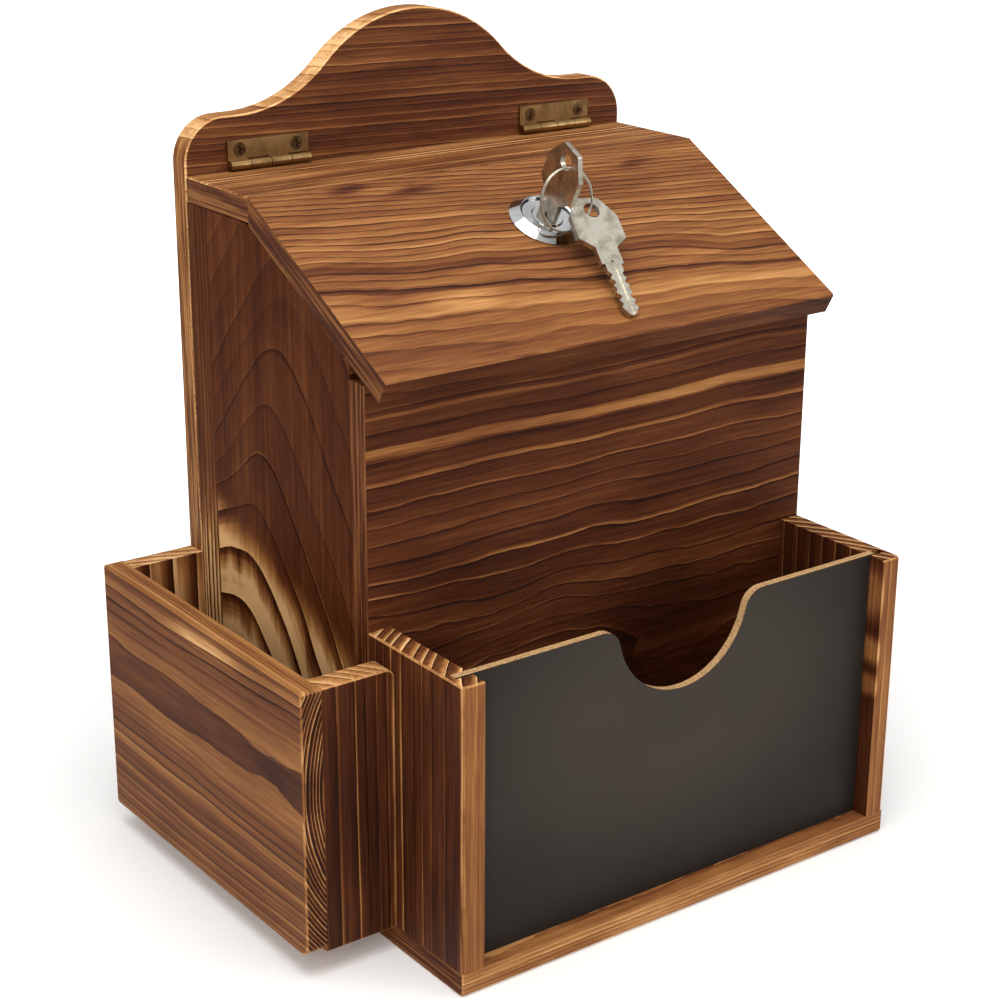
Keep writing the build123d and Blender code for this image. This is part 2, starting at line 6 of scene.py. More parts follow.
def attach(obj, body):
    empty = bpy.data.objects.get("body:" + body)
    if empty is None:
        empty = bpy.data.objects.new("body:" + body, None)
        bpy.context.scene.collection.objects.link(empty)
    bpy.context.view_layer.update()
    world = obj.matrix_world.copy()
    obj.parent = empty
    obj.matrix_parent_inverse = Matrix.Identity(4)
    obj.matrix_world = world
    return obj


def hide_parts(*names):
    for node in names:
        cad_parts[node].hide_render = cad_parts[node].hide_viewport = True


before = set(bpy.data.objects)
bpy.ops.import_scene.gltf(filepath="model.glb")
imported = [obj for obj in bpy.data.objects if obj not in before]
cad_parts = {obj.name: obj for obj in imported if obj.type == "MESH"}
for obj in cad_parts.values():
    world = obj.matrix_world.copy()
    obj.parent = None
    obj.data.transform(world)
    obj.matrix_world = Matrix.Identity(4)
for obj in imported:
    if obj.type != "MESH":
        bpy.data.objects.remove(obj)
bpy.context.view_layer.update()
mm = 0.001
noiseSpan = (0.3, 0.7)        # nearly all values of a noise lie between these
print("frame loaded")


# Shader helpers

def plug(tree, value, socket):
    # a socket is linked, a plain number or colour is set on the socket itself
    if isinstance(value, bpy.types.NodeSocket):
        tree.links.new(value, socket)
    else:
        socket.default_value = value


def calc(tree, operation, *values):
    node = tree.nodes.new("ShaderNodeMath")
    node.operation = operation
    for value, socket in zip(values, node.inputs):
        plug(tree, value, socket)
    return node.outputs[0]


def added(tree, *values):
    total = values[0]
    for value in values[1:]:
        total = calc(tree, "ADD", total, value)
    return total


def joined(tree, x, y, z):
    node = tree.nodes.new("ShaderNodeCombineXYZ")
    for value, socket in zip((x, y, z), node.inputs):
        plug(tree, value, socket)
    return node.outputs[0]


def split(tree, vector):
    node = tree.nodes.new("ShaderNodeSeparateXYZ")
    plug(tree, vector, node.inputs[0])
    return node.outputs[0], node.outputs[1], node.outputs[2]


def noise(tree, vector, detail=2.0, roughness=0.5):
    node = tree.nodes.new("ShaderNodeTexNoise")
    plug(tree, vector, node.inputs["Vector"])
    node.inputs["Scale"].default_value = 1.0
    node.inputs["Detail"].default_value = detail
    node.inputs["Roughness"].default_value = roughness
    return node.outputs[0]


def ramp(tree, value, stops):
    node = tree.nodes.new("ShaderNodeValToRGB")
    elements = node.color_ramp.elements
    while len(elements) < len(stops):
        elements.new(0.5)
    for element, (place, colour) in zip(elements, stops):
        element.position = place
        element.color = colour
    plug(tree, value, node.inputs[0])
    return node.outputs[0]


def stepped(tree, value, low, high, start=0.0, end=1.0):
    node = tree.nodes.new("ShaderNodeMapRange")
    node.interpolation_type = "SMOOTHSTEP"
    plug(tree, value, node.inputs[0])
    for socket, number in zip(list(node.inputs)[1:5], (low, high, start, end)):
        socket.default_value = number
    return node.outputs[0]


def blended(tree, factor, first, second):
    node = tree.nodes.new("ShaderNodeMix")
    node.data_type = "RGBA"
    plug(tree, factor, node.inputs["Factor"])
    plug(tree, first, node.inputs[6])
    plug(tree, second, node.inputs[7])
    return node.outputs[2]


def bumped(tree, height, depth):
    node = tree.nodes.new("ShaderNodeBump")
    plug(tree, height, node.inputs["Height"])
    node.inputs["Distance"].default_value = depth
    return node.outputs[0]


def paint(red, green, blue):
    # screen values, 0 to 255, as the shader's linear colour
    def linear(value):
        value /= 255
        return value / 12.92 if value <= 0.04045 else ((value + 0.055) / 1.055) ** 2.4
    return (linear(red), linear(green), linear(blue), 1.0)


def newMaterial(name):
    material = bpy.data.materials.new(name)
    material.use_nodes = True
    tree = material.node_tree
    return material, tree, tree.nodes["Principled BSDF"]


def millimetres(tree):
    coordinates = tree.nodes.new("ShaderNodeTexCoord")
    scaled = tree.nodes.new("ShaderNodeVectorMath")
    scaled.operation = "SCALE"
    tree.links.new(coordinates.outputs["Object"], scaled.inputs[0])
    scaled.inputs["Scale"].default_value = 1000.0
    return scaled.outputs[0]


def dress(material, *nodes):
    for name in nodes:
        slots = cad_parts[name].data.materials
        slots.clear()
        slots.append(material)


# Torched softwood: growth rings round a pith line, burnt unevenly and brushed

scorch = {
    "char": paint(34, 11, 2),
    "umber": paint(61, 25, 8),
    "chestnut": paint(88, 45, 20),
    "russet": paint(119, 70, 36),
    "honey": paint(152, 100, 54),
    "straw": paint(188, 134, 80),
    "cream": paint(236, 186, 128),
    "ridge": 0.16 * mm,       # height of the hard rings after brushing
    "fibreRidge": 0.4,        # height of the fibres and streaks as shares of it
    "streakRidge": 0.6,
    "roughness": (0.5, 0.72),
    "roughSpan": (0.2, 0.8),  # the values of the fibre noise that give these two
    "ringReference": 60.0,    # distance from the pith at which "ring" is the ring's width
    "calmWaves": 0.3,         # what is left of the waves beyond "calm"
    "unevenPace": 0.27,       # changes in the rings' widths, for each ring
    "finePace": 6.0,          # fine lines in each ring
    "faceTurn": (0.8, 0.9),   # how squarely a surface has to look along an axis to be a face or an end
    "cornerTurn": (0.9, 0.97),
    "patchEdge": (0.5, 1.3),  # where a patch begins and ends to fade, as shares of its size
    "patchRagged": 0.6,
    "stripe": (0.1, 0.55),    # of each ring, on a sawn end
    "rubbed": (0.35, 0.6, 0.3, 1.0),      # four numbers: a noise's low and high, and what they give
    "sawn": (0.35, 0.65, -0.16, 0.2),
}
lineShape = {
    # light and dark lines along the rings; four numbers say the same as in "scorch"
    "leastWidth": 0.4,
    "lightFade": (0.1, 1.0),
    "lightMost": 1.4,
    "lightStretch": (0.3, 0.62, 0.3, 1.15),
    "darkEnd": 0.98,
    "darkLeast": 0.4,
    "darkRange": 0.75,
    "darkStretch": (0.35, 0.7, 1.1, 0.4),
    "bandEdge": (0.45, 0.6),
    "bandStretch": (0.25, 0.6, 0.5, 1.0),
    "burntRing": (0.35, 0.95),
}
toneSteps = {
    # which colour a tone gives, from burnt to bare
    "char": 0.0, "umber": 0.16, "chestnut": 0.32, "russet": 0.47,
    "honey": 0.62, "straw": 0.79, "cream": 1.0,
}
grainSizes = {
    # length along the grain and width across it, in millimetres
    "ragged": (9.0, 1.3),
    "stretch": (50.0, 5.0),
    "fibre": (16.0, 0.45),
    "streak": (70.0, 1.5),
    "patch": (30.0, 4.0),
    "tongue": (36.0, 9.0),
    "worn": (25.0, 25.0),
    "sawn": (40.0, 1.1),
}


def tilted(tree, vector, angle):
    node = tree.nodes.new("ShaderNodeVectorRotate")
    node.rotation_type = "X_AXIS"
    plug(tree, vector, node.inputs["Vector"])
    node.inputs["Angle"].default_value = angle
    return node.outputs[0]


def alongGrain(tree, look):
    # a point on the board in millimetres: along the grain, across it and deep
    point = millimetres(tree)
    if "tilt" in look:
        point = tilted(tree, point, look["tilt"])
    x, y, z = split(tree, point)
    return {"x": (x, y, z), "y": (y, x, z), "z": (z, x, y)}[look["grain"]]


def grainNoise(tree, place, length, width, seed, detail=2.0, roughness=0.5):
    # the seed shifts the noise by another amount along each axis
    along, across, deep = place
    vector = joined(
        tree,
        calc(tree, "MULTIPLY_ADD", along, 1 / length, seed),
        calc(tree, "MULTIPLY_ADD", across, 1 / width, seed * 1.7),
        calc(tree, "MULTIPLY_ADD", deep, 1 / width, seed * 0.6),
    )
    return noise(tree, vector, detail, roughness)


def pithDistance(tree, place, look):
    # how far a point is from the line that the rings grew round
    along, across, deep = place
    pithAcross, pithDeep = look["pith"]
    drift, lean = look["drift"]
    sideways = calc(tree, "MULTIPLY_ADD", along, -drift, calc(tree, "SUBTRACT", across, pithAcross))
    inward = calc(tree, "MULTIPLY_ADD", along, -lean, calc(tree, "SUBTRACT", deep, pithDeep))
    square = calc(tree, "MULTIPLY", sideways, sideways)
    return calc(tree, "SQRT", added(tree, square, calc(tree, "MULTIPLY", inward, inward)))


def archDistance(tree, place, look):
    # pointed arches up the board, steep at the front and flatter at the rear
    along, across, deep = place
    arch = look["arch"]
    foot = arch["middle"] + arch["shift"] * arch["level"]
    middle = calc(tree, "MULTIPLY_ADD", along, -arch["shift"], foot)
    side = calc(tree, "SUBTRACT", deep, middle)
    rear = stepped(tree, along, *arch["rearReach"], *arch["rearSlope"])
    rear = calc(tree, "MULTIPLY", calc(tree, "MAXIMUM", side, 0.0), rear)
    front = calc(tree, "MULTIPLY", calc(tree, "MINIMUM", side, 0.0), arch["frontSlope"])
    leg = calc(tree, "ADD", rear, front)
    square = calc(tree, "MULTIPLY_ADD", leg, leg, arch["round"] ** 2)
    inside = calc(tree, "MULTIPLY_ADD", across, arch["through"], arch["outer"] * arch["through"])
    return added(tree, along, calc(tree, "SQRT", square), inside)


def wavyDistance(tree, place, look):
    seed = look["seed"]
    waveHeight, waveLength, waveWidth = look["wave"]
    rippleHeight, rippleLength, rippleWidth = look["ripple"]
    sway = grainNoise(tree, place, waveLength, waveWidth, seed, 1.0)
    ripple = grainNoise(tree, place, rippleLength, rippleWidth, seed + 3.1, 2.0)
    ragged = grainNoise(tree, place, *grainSizes["ragged"], seed + 4.4, 2.0, 0.6)
    distance = archDistance(tree, place, look) if "arch" in look else pithDistance(tree, place, look)
    wave = added(
        tree,
        calc(tree, "MULTIPLY_ADD", sway, 2 * waveHeight, -waveHeight),
        calc(tree, "MULTIPLY_ADD", ripple, 2 * rippleHeight, -rippleHeight),
    )
    wave = calc(tree, "MULTIPLY", wave, stepped(tree, distance, *look["calm"], 1.0, scorch["calmWaves"]))
    ragged = calc(tree, "MULTIPLY_ADD", ragged, 2 * look["ragged"], -look["ragged"])
    return added(tree, distance, wave, ragged)


def growthRings(tree, distance, look):
    # the place within a ring, 0 to 1, three chances that belong to the ring, and fine lines within it
    reference, growth = scorch["ringReference"], look["growth"]
    share = calc(tree, "POWER", calc(tree, "MULTIPLY", distance, 1 / reference), growth)
    rings = calc(tree, "MULTIPLY", share, reference / (look["ring"] * growth))
    slow = calc(tree, "MULTIPLY", rings, scorch["unevenPace"])
    uneven = noise(tree, joined(tree, slow, look["seed"], 0.0), 1.0)
    rings = calc(tree, "MULTIPLY_ADD", uneven, look["jitter"], rings)
    chance = tree.nodes.new("ShaderNodeTexWhiteNoise")
    chance.noise_dimensions = "1D"
    tree.links.new(calc(tree, "FLOOR", rings), chance.inputs["W"])
    quick = calc(tree, "MULTIPLY", rings, scorch["finePace"])
    fine = noise(tree, joined(tree, quick, look["seed"], 2.0), 2.0, 0.6)
    return calc(tree, "FRACT", rings), split(tree, chance.outputs["Color"]), fine


def surfaceTurn(tree, look):
    # three masks: 1 on the broad faces, on the sawn ends and on the sanded corners
    normal = tree.nodes.new("ShaderNodeTexCoord").outputs["Normal"]
    if "tilt" in look:
        normal = tilted(tree, normal, look["tilt"])
    sides = [calc(tree, "ABSOLUTE", side) for side in split(tree, normal)]
    face = stepped(tree, sides["xyz".index(look["face"])], *scorch["faceTurn"])
    end = stepped(tree, sides["xyz".index(look["grain"])], *scorch["faceTurn"])
    most = calc(tree, "MAXIMUM", calc(tree, "MAXIMUM", sides[0], sides[1]), sides[2])
    return face, end, stepped(tree, most, *scorch["cornerTurn"], 1.0, 0.0)


def softPatch(tree, patch, rough):
    # a rounded area with a ragged edge, at a place on the board
    offset = tree.nodes.new("ShaderNodeVectorMath")
    offset.operation = "SUBTRACT"
    tree.links.new(millimetres(tree), offset.inputs[0])
    offset.inputs[1].default_value = patch["at"]
    shrunk = tree.nodes.new("ShaderNodeVectorMath")
    shrunk.operation = "DIVIDE"
    tree.links.new(offset.outputs[0], shrunk.inputs[0])
    shrunk.inputs[1].default_value = patch["size"]
    length = tree.nodes.new("ShaderNodeVectorMath")
    length.operation = "LENGTH"
    tree.links.new(shrunk.outputs[0], length.inputs[0])
    ragged = patch.get("ragged", scorch["patchRagged"])
    reach = calc(tree, "MULTIPLY_ADD", rough, ragged, length.outputs["Value"])
    return stepped(tree, reach, *scorch["patchEdge"], 1.0, 0.0)


def sawnEnd(tree, look, seed):
    # fine rough lines on the end of a board
    point = millimetres(tree)
    if "tilt" in look:
        point = tilted(tree, point, look["tilt"])
    x, y, z = split(tree, point)
    place = {"y": (y, z, 0.0), "z": (z, y, 0.0)}[look["endAlong"]]
    coarse = grainNoise(tree, place, *grainSizes["sawn"], seed + 6.2, 2.0, 0.6)
    return stepped(tree, coarse, *scorch["sawn"])


def ringLines(tree, season, chances, stretch, look):
    # a pale line where a ring starts and a dark one where it ends, each with a strength of its own
    lightChance, darkChance = chances
    least = lineShape["leastWidth"] * look["lightWidth"]
    width = calc(tree, "MULTIPLY_ADD", lightChance, look["lightWidth"], least)
    light = stepped(tree, calc(tree, "DIVIDE", season, width), *lineShape["lightFade"], 1.0, 0.0)
    strength = calc(tree, "POWER", lightChance, 2.0)
    strength = calc(tree, "MULTIPLY_ADD", strength, lineShape["lightMost"] - look["steady"], look["steady"])
    light = calc(tree, "MULTIPLY", light, strength)
    light = calc(tree, "MULTIPLY", light, stepped(tree, stretch, *lineShape["lightStretch"]))
    dark = stepped(tree, season, 1.0 - look["darkWidth"], lineShape["darkEnd"])
    strength = calc(tree, "MULTIPLY_ADD", darkChance, lineShape["darkRange"], lineShape["darkLeast"])
    dark = calc(tree, "MULTIPLY", dark, strength)
    dark = calc(tree, "MULTIPLY", dark, stepped(tree, stretch, *lineShape["darkStretch"]))
    return light, dark


def linesShown(tree, rim, end, stretch, look):
    # how strongly the ring lines show: 1 on a face, 0 in a plain area
    shown = calc(tree, "MULTIPLY_ADD", end, look["endLines"], 1.0)
    shown = calc(tree, "MULTIPLY_ADD", rim, look["rimLines"], shown)
    for at, size in look.get("plain", ()):
        area = softPatch(tree, {"at": at, "size": size}, stretch)
        shown = calc(tree, "MULTIPLY", shown, calc(tree, "SUBTRACT", 1.0, area))
    return shown


def addBands(tree, tone, distance, stretch, look):
    # single rings that are lighter or darker than the rest
    inner, outer = lineShape["bandEdge"]
    for at, width, change in look.get("bands", ()):
        nearness = calc(tree, "ABSOLUTE", calc(tree, "SUBTRACT", distance, at))
        band = stepped(tree, nearness, inner * width, outer * width, change, 0.0)
        band = calc(tree, "MULTIPLY", band, stepped(tree, stretch, *lineShape["bandStretch"]))
        tone = added(tree, tone, band)
    return tone


def addPatches(tree, tone, place, season, look):
    # smudges and bare areas; in a scorched one the end of each ring is burnt
    for patch in look.get("patches", ()):
        rough = grainNoise(tree, place, *grainSizes["patch"], look["seed"] + 9.1, 2.0)
        shape = softPatch(tree, patch, rough)
        tone = calc(tree, "MULTIPLY_ADD", shape, patch["tone"], tone)
        if "scorched" in patch:
            burnt = calc(tree, "MULTIPLY", stepped(tree, season, *lineShape["burntRing"]), shape)
            tone = calc(tree, "MULTIPLY_ADD", burnt, -patch["scorched"], tone)
    return tone


def addFlame(tree, tone, place, season, fine, streaks, look):
    # pale wood with burnt tongues, low on the outside of the left side board
    flame = look["flame"]
    area = calc(tree, "MULTIPLY_ADD", place[2], -flame["slope"], place[0])
    area = calc(tree, "MULTIPLY_ADD", streaks, flame["ragged"], area)
    area = stepped(tree, area, *flame["reach"], 1.0, 0.0)
    sideways = split(tree, millimetres(tree))[0]
    area = calc(tree, "MULTIPLY", area, stepped(tree, sideways, *flame["leftOf"], 1.0, 0.0))
    bare = calc(tree, "MULTIPLY_ADD", fine, flame["fine"], flame["tone"] - flame["fine"] / 2)
    tone = calc(tree, "MULTIPLY_ADD", area, bare, tone)
    tongues = grainNoise(tree, place, *grainSizes["tongue"], look["seed"] + 8.8, 2.0, 0.5)
    reach = calc(tree, "SUBTRACT", season, flame["tongues"] / 2)
    reach = calc(tree, "MULTIPLY_ADD", tongues, flame["tongues"], reach)
    burnt = calc(tree, "MULTIPLY", stepped(tree, reach, *flame["burntFrom"]), area)
    return calc(tree, "MULTIPLY_ADD", burnt, -flame["burnt"], tone)


def scorchedWood(name, look):
    material, tree, shader = newMaterial(name)
    place = alongGrain(tree, look)
    seed = look["seed"]
    distance = wavyDistance(tree, place, look)
    season, (ringChance, *lineChances), fine = growthRings(tree, distance, look)
    face, end, corner = surfaceTurn(tree, look)
    rim = calc(tree, "SUBTRACT", 1.0, face)
    stretch = grainNoise(tree, place, *grainSizes["stretch"], seed + 7.7, 3.0)
    lightLine, darkLine = ringLines(tree, season, lineChances, stretch, look)
    shown = linesShown(tree, rim, end, stretch, look)
    lightLine = calc(tree, "MULTIPLY", lightLine, shown)
    darkLine = calc(tree, "MULTIPLY", darkLine, shown)
    burn = grainNoise(tree, place, *look["burnSize"], seed + 11.3, 3.0, 0.55)
    fibres = grainNoise(tree, place, *grainSizes["fibre"], seed + 5.9, 3.0, 0.65)
    streaks = grainNoise(tree, place, *grainSizes["streak"], seed + 2.3, 3.0, 0.65)

    tone = added(
        tree, look["tone"],
        calc(tree, "MULTIPLY", lightLine, look["light"]),
        calc(tree, "MULTIPLY", darkLine, -look["dark"]),
        calc(tree, "MULTIPLY_ADD", season, -look["shade"], look["shade"] / 2),
        calc(tree, "MULTIPLY_ADD", ringChance, look["uneven"], -look["uneven"] / 2),
        stepped(tree, burn, *noiseSpan, -look["burn"] / 2, look["burn"] / 2),
        stepped(tree, fibres, *noiseSpan, -look["fibre"] / 2, look["fibre"] / 2),
        calc(tree, "MULTIPLY_ADD", fine, look["fine"], -look["fine"] / 2),
        stepped(tree, streaks, *noiseSpan, -look["streak"] / 2, look["streak"] / 2),
    )
    tone = addBands(tree, tone, distance, stretch, look)
    tone = addPatches(tree, tone, place, season, look)
    if "flame" in look:
        tone = addFlame(tree, tone, place, season, fine, streaks, look)
    tone = calc(tree, "MULTIPLY_ADD", rim, look["rim"], tone)
    tone = calc(tree, "MULTIPLY_ADD", end, look["end"], tone)
    if "endAlong" in look:
        sawn = calc(tree, "SUBTRACT", added(tree, sawnEnd(tree, look, seed), look["endTone"]), tone)
        tone = calc(tree, "MULTIPLY_ADD", end, sawn, tone)
    stripes = calc(tree, "MULTIPLY", end, stepped(tree, season, *scorch["stripe"], 1.0, 0.0))
    tone = calc(tree, "MULTIPLY_ADD", stripes, look["endStripes"], tone)
    rubbed = grainNoise(tree, place, *grainSizes["worn"], seed + 1.1, 4.0, 0.6)
    worn = calc(tree, "MULTIPLY", corner, stepped(tree, rubbed, *scorch["rubbed"]))
    tone = calc(tree, "MULTIPLY_ADD", worn, look["worn"], tone)

    colour = ramp(tree, tone, [(step, scorch[colour]) for colour, step in toneSteps.items()])
    plug(tree, colour, shader.inputs["Base Color"])
    roughness = stepped(tree, fibres, *scorch["roughSpan"], *scorch["roughness"])
    plug(tree, roughness, shader.inputs["Roughness"])
    shader.inputs["Specular IOR Level"].default_value = look["sheen"]
    height = added(
        tree, lightLine, calc(tree, "MULTIPLY", darkLine, -1.0),
        calc(tree, "MULTIPLY", fibres, scorch["fibreRidge"]),
        calc(tree, "MULTIPLY", streaks, scorch["streakRidge"]),
    )
    plug(tree, bumped(tree, height, scorch["ridge"]), shader.inputs["Normal"])
    return material


softwood = {
    # what every board shares; a board's own dictionary changes what it needs
    # "tone" is the middle tone, 0 burnt to 1 bare, and the other strengths are added to it
    # "pith" is where the rings' middle lies, across and deep, and "ring" is their width
    # "wave" and "ripple" are height, length and width of the rings' bends
    "drift": (0.0, 0.0),      # how the pith runs off, across and deep, for each millimetre along
    "growth": 1.0,            # above 1 the rings get narrower outwards
    "jitter": 2.4,            # how uneven the rings' widths are
    "ragged": 0.35,
    "calm": (900.0, 1000.0),  # distance from the pith over which the waves die down
    "light": 0.2, "lightWidth": 0.3, "steady": 0.2,
    "dark": 0.25, "darkWidth": 0.3,
    "shade": 0.08, "uneven": 0.1, "fine": 0.14, "fibre": 0.1, "streak": 0.1,
    "burn": 0.12, "burnSize": (80.0, 16.0),
    "rim": 0.0, "rimLines": 0.0,
    "end": -0.08, "endLines": 0.0, "endStripes": 0.0,
    "worn": 0.3,
    "sheen": 0.14,
}
slopeAngle = math.atan2(46.0, 84.5)    # rise and run of the slope board


# Lid

lidStrip = {
    **softwood, "grain": "x", "face": "z", "seed": 1.3, "ring": 3.0, "pith": (24.0, 205.0), "growth": 1.3,
    "wave": (1.5, 170.0, 40.0), "ripple": (0.5, 45.0, 8.0), "tone": 0.54, "light": 0.4, "dark": 0.36,
    "uneven": 0.2, "burn": 0.25, "rim": -0.05, "endAlong": "y", "endTone": 0.42,
}
lidSlope = {
    **softwood, "grain": "x", "face": "z", "tilt": -slopeAngle, "seed": 4.2, "ring": 5.4,
    "pith": (58.0, 146.0), "growth": 2.25, "drift": (-0.1, 0.0), "wave": (8.0, 110.0, 50.0),
    "ripple": (3.4, 38.0, 30.0), "calm": (76.0, 118.0), "jitter": 1.4, "ragged": 0.22,
    "tone": 0.52, "light": 0.08, "lightWidth": 0.4, "dark": 0.38, "uneven": 0.12, "shade": 0.1,
    "rim": -0.25, "endAlong": "y", "endTone": 0.36,
    "bands": ((69.0, 4.5, 0.2), (75.5, 2.4, -0.18), (84.0, 3.2, -0.15)),
    "plain": (((0.0, -4.0, 206.0), (240.0, 27.0, 27.0)),),
    "patches": (
        {"at": (-62.0, 70.0, 251.0), "size": (24.0, 11.0, 11.0), "tone": -0.36, "ragged": 1.5},
        {"at": (-36.0, 66.0, 249.0), "size": (20.0, 9.0, 9.0), "tone": -0.3, "ragged": 1.5},
        {"at": (64.0, 64.0, 247.0), "size": (22.0, 11.0, 11.0), "tone": -0.24, "ragged": 1.5},
        {"at": (-60.0, 0.0, 212.0), "size": (70.0, 15.0, 12.0), "tone": -0.08},
        {"at": (-48.0, 15.0, 221.0), "size": (32.0, 9.0, 9.0), "tone": 0.2, "ragged": 1.0},
    ),
}
dress(scorchedWood("lidStripWood", lidStrip), "lid_top_strip")
dress(scorchedWood("lidSlopeWood", lidSlope), "lid_slope_board")
print("lid dressed")


# Back board

backBoard = {
    **softwood, "grain": "x", "face": "y", "seed": 8.5, "ring": 2.7, "pith": (112.0, 120.0),
    "drift": (0.0, -0.03), "wave": (2.0, 160.0, 40.0), "ripple": (0.4, 40.0, 10.0),
    "tone": 0.35, "light": 0.14, "dark": 0.22, "uneven": 0.12, "burn": 0.14,
    "rim": 0.3, "endAlong": "z", "endTone": 0.56,
}
dress(scorchedWood("backBoardWood", backBoard), "back_board")


# Box walls

frontBoard = {
    **softwood, "grain": "x", "face": "y", "seed": 2.9, "ring": 5.0, "pith": (45.0, 70.0), "growth": 0.5,
    "wave": (8.0, 80.0, 50.0), "ripple": (2.4, 36.0, 24.0), "calm": (62.0, 125.0), "jitter": 1.8,
    "ragged": 0.25, "tone": 0.27, "light": 0.24, "lightWidth": 0.16, "dark": 0.21, "darkWidth": 0.22,
    "uneven": 0.07, "shade": 0.05, "sheen": 0.1, "endAlong": "z", "endTone": 0.34,
    "bands": ((128.0, 1.2, 0.18), (116.0, 3.2, 0.34), (107.0, 1.4, 0.2), (99.5, 0.9, 0.12)),
    "plain": (((20.0, 0.0, 62.0), (130.0, 30.0, 34.0)),),
    "patches": ({"at": (32.0, 0.0, 78.0), "size": (52.0, 30.0, 34.0), "tone": -0.12, "ragged": 0.5},),
}
sideBoards = {
    **softwood, "grain": "z", "face": "x", "seed": 6.1, "ring": 21.0, "jitter": 0.9, "sheen": 0.05,
    "arch": {
        "middle": 60.0, "level": 192.0, "shift": 0.3, "round": 20.0, "frontSlope": 1.1,
        "rearReach": (120.0, 160.0), "rearSlope": (0.8, 1.8),
        "outer": 100.0,       # half the body's width
        "through": 0.12,      # how far the arches move for each millimetre from the left face
    },
    "wave": (3.5, 60.0, 34.0), "ripple": (0.7, 26.0, 12.0), "ragged": 0.15,
    "tone": 0.28, "light": 0.15, "lightWidth": 0.05, "steady": 0.4, "dark": 0.2, "darkWidth": 0.12,
    "uneven": 0.03, "burn": 0.1, "shade": 0.06, "fine": 0.08, "streak": 0.12,
    "plain": (((-100.0, 60.0, 236.0), (30.0, 90.0, 40.0)), ((100.0, 60.0, 236.0), (30.0, 90.0, 40.0))),
    "flame": {
        "slope": 0.38, "reach": (88.0, 112.0), "leftOf": (-70.0, -60.0), "ragged": 16.0,
        "tone": 0.72, "fine": 0.5, "burnt": 0.74, "burntFrom": (0.36, 1.0), "tongues": 0.8,
    },
}
sideStrips = {
    **softwood, "grain": "z", "face": "x", "seed": 9.4, "sheen": 0.05, "ring": 1.8, "pith": (-60.0, 60.0),
    "wave": (1.0, 120.0, 30.0), "ripple": (0.3, 40.0, 8.0), "tone": 0.32, "light": 0.3, "dark": 0.2,
    "patches": (
        {
            "at": (-100.0, 109.0, 72.0), "size": (30.0, 30.0, 70.0),
            "tone": 0.8, "scorched": 0.9, "ragged": 0.5,
        },
    ),
}
dress(scorchedWood("frontBoardWood", frontBoard), "front_board", "cross_rail")
dress(scorchedWood("sideBoardWood", sideBoards), "left_side_board", "right_side_board")
dress(scorchedWood("sideStripWood", sideStrips), "left_side_strip", "right_side_strip")

baseBoard = {
    **softwood, "grain": "x", "face": "z", "seed": 3.3, "ring": 1.6, "pith": (-60.0, -60.0),
    "wave": (1.5, 110.0, 30.0), "ripple": (0.3, 40.0, 8.0), "tone": 0.65, "light": 0.15, "dark": 0.34,
    "burn": 0.25, "rim": 0.02, "endAlong": "y", "endTone": 0.34, "worn": 0.15,
}
dress(scorchedWood("baseBoardWood", baseBoard), "base_board")
print("box walls dressed")


# Pockets

cheeks = {
    **softwood, "grain": "z", "face": "x", "seed": 5.5, "ring": 4.2, "pith": (-24.0, -100.0), "jitter": 1.7,
    "wave": (1.2, 140.0, 60.0), "ripple": (0.2, 50.0, 14.0), "ragged": 0.12, "tone": 0.22, "light": 0.42,
    "lightWidth": 0.2, "steady": 0.5, "dark": 0.1, "darkWidth": 0.2, "uneven": 0.05, "burn": 0.14,
    "fine": 0.12, "streak": 0.14, "rim": 0.34, "rimLines": -0.65,
    "end": -0.2, "endLines": 2.0, "endStripes": 0.35, "worn": 0.22,
    "patches": (
        {"at": (91.0, -50.0, 101.0), "size": (1.8, 12.0, 13.0), "tone": 0.36, "ragged": 0.3},
        {"at": (91.0, -50.0, 78.0), "size": (1.8, 12.0, 7.0), "tone": 0.42, "ragged": 0.3},
        {"at": (91.0, -50.0, 64.0), "size": (1.8, 12.0, 6.0), "tone": 0.34, "ragged": 0.3},
    ),
}
pocketEnds = {
    **cheeks, "face": "y", "seed": 12.5, "pith": (-190.0, -66.0), "wave": (1.0, 140.0, 60.0), "end": 0.1,
    "endStripes": 0.15,
    "patches": (
        {
            "at": (-118.0, 112.0, 70.0), "size": (40.0, 14.0, 70.0),
            "tone": 0.76, "scorched": 0.74, "ragged": 0.5,
        },
        {"at": (-100.3, -14.0, 62.0), "size": (1.7, 6.0, 110.0), "tone": 0.75, "ragged": 0.6},
    ),
}
pocketOuter = {
    **softwood, "grain": "y", "face": "x", "seed": 7.2, "ring": 1.35, "pith": (-60.0, 71.0), "jitter": 1.2,
    "wave": (1.4, 120.0, 40.0), "ripple": (0.3, 40.0, 14.0), "ragged": 0.04, "tone": 0.5, "light": 0.1,
    "dark": 0.3, "uneven": 0.2, "burn": 0.1, "rim": 0.14,
    "end": -0.46, "endLines": 0.5, "endStripes": 0.42, "worn": 0.05,
    "patches": (
        {"at": (-137.0, 48.0, 103.0), "size": (12.0, 34.0, 4.0), "tone": 0.3},
        {"at": (-137.0, 50.0, 71.0), "size": (12.0, 170.0, 10.0), "tone": -0.17, "ragged": 0.2},
    ),
}
dress(scorchedWood("cheekWood", cheeks), "left_cheek", "right_cheek")
dress(scorchedWood("pocketEndWood", pocketEnds), "side_pocket_front_board", "side_pocket_rear_board")
dress(scorchedWood("pocketOuterWood", pocketOuter), "side_pocket_outer_board", "side_pocket_floor")
print("pockets dressed")
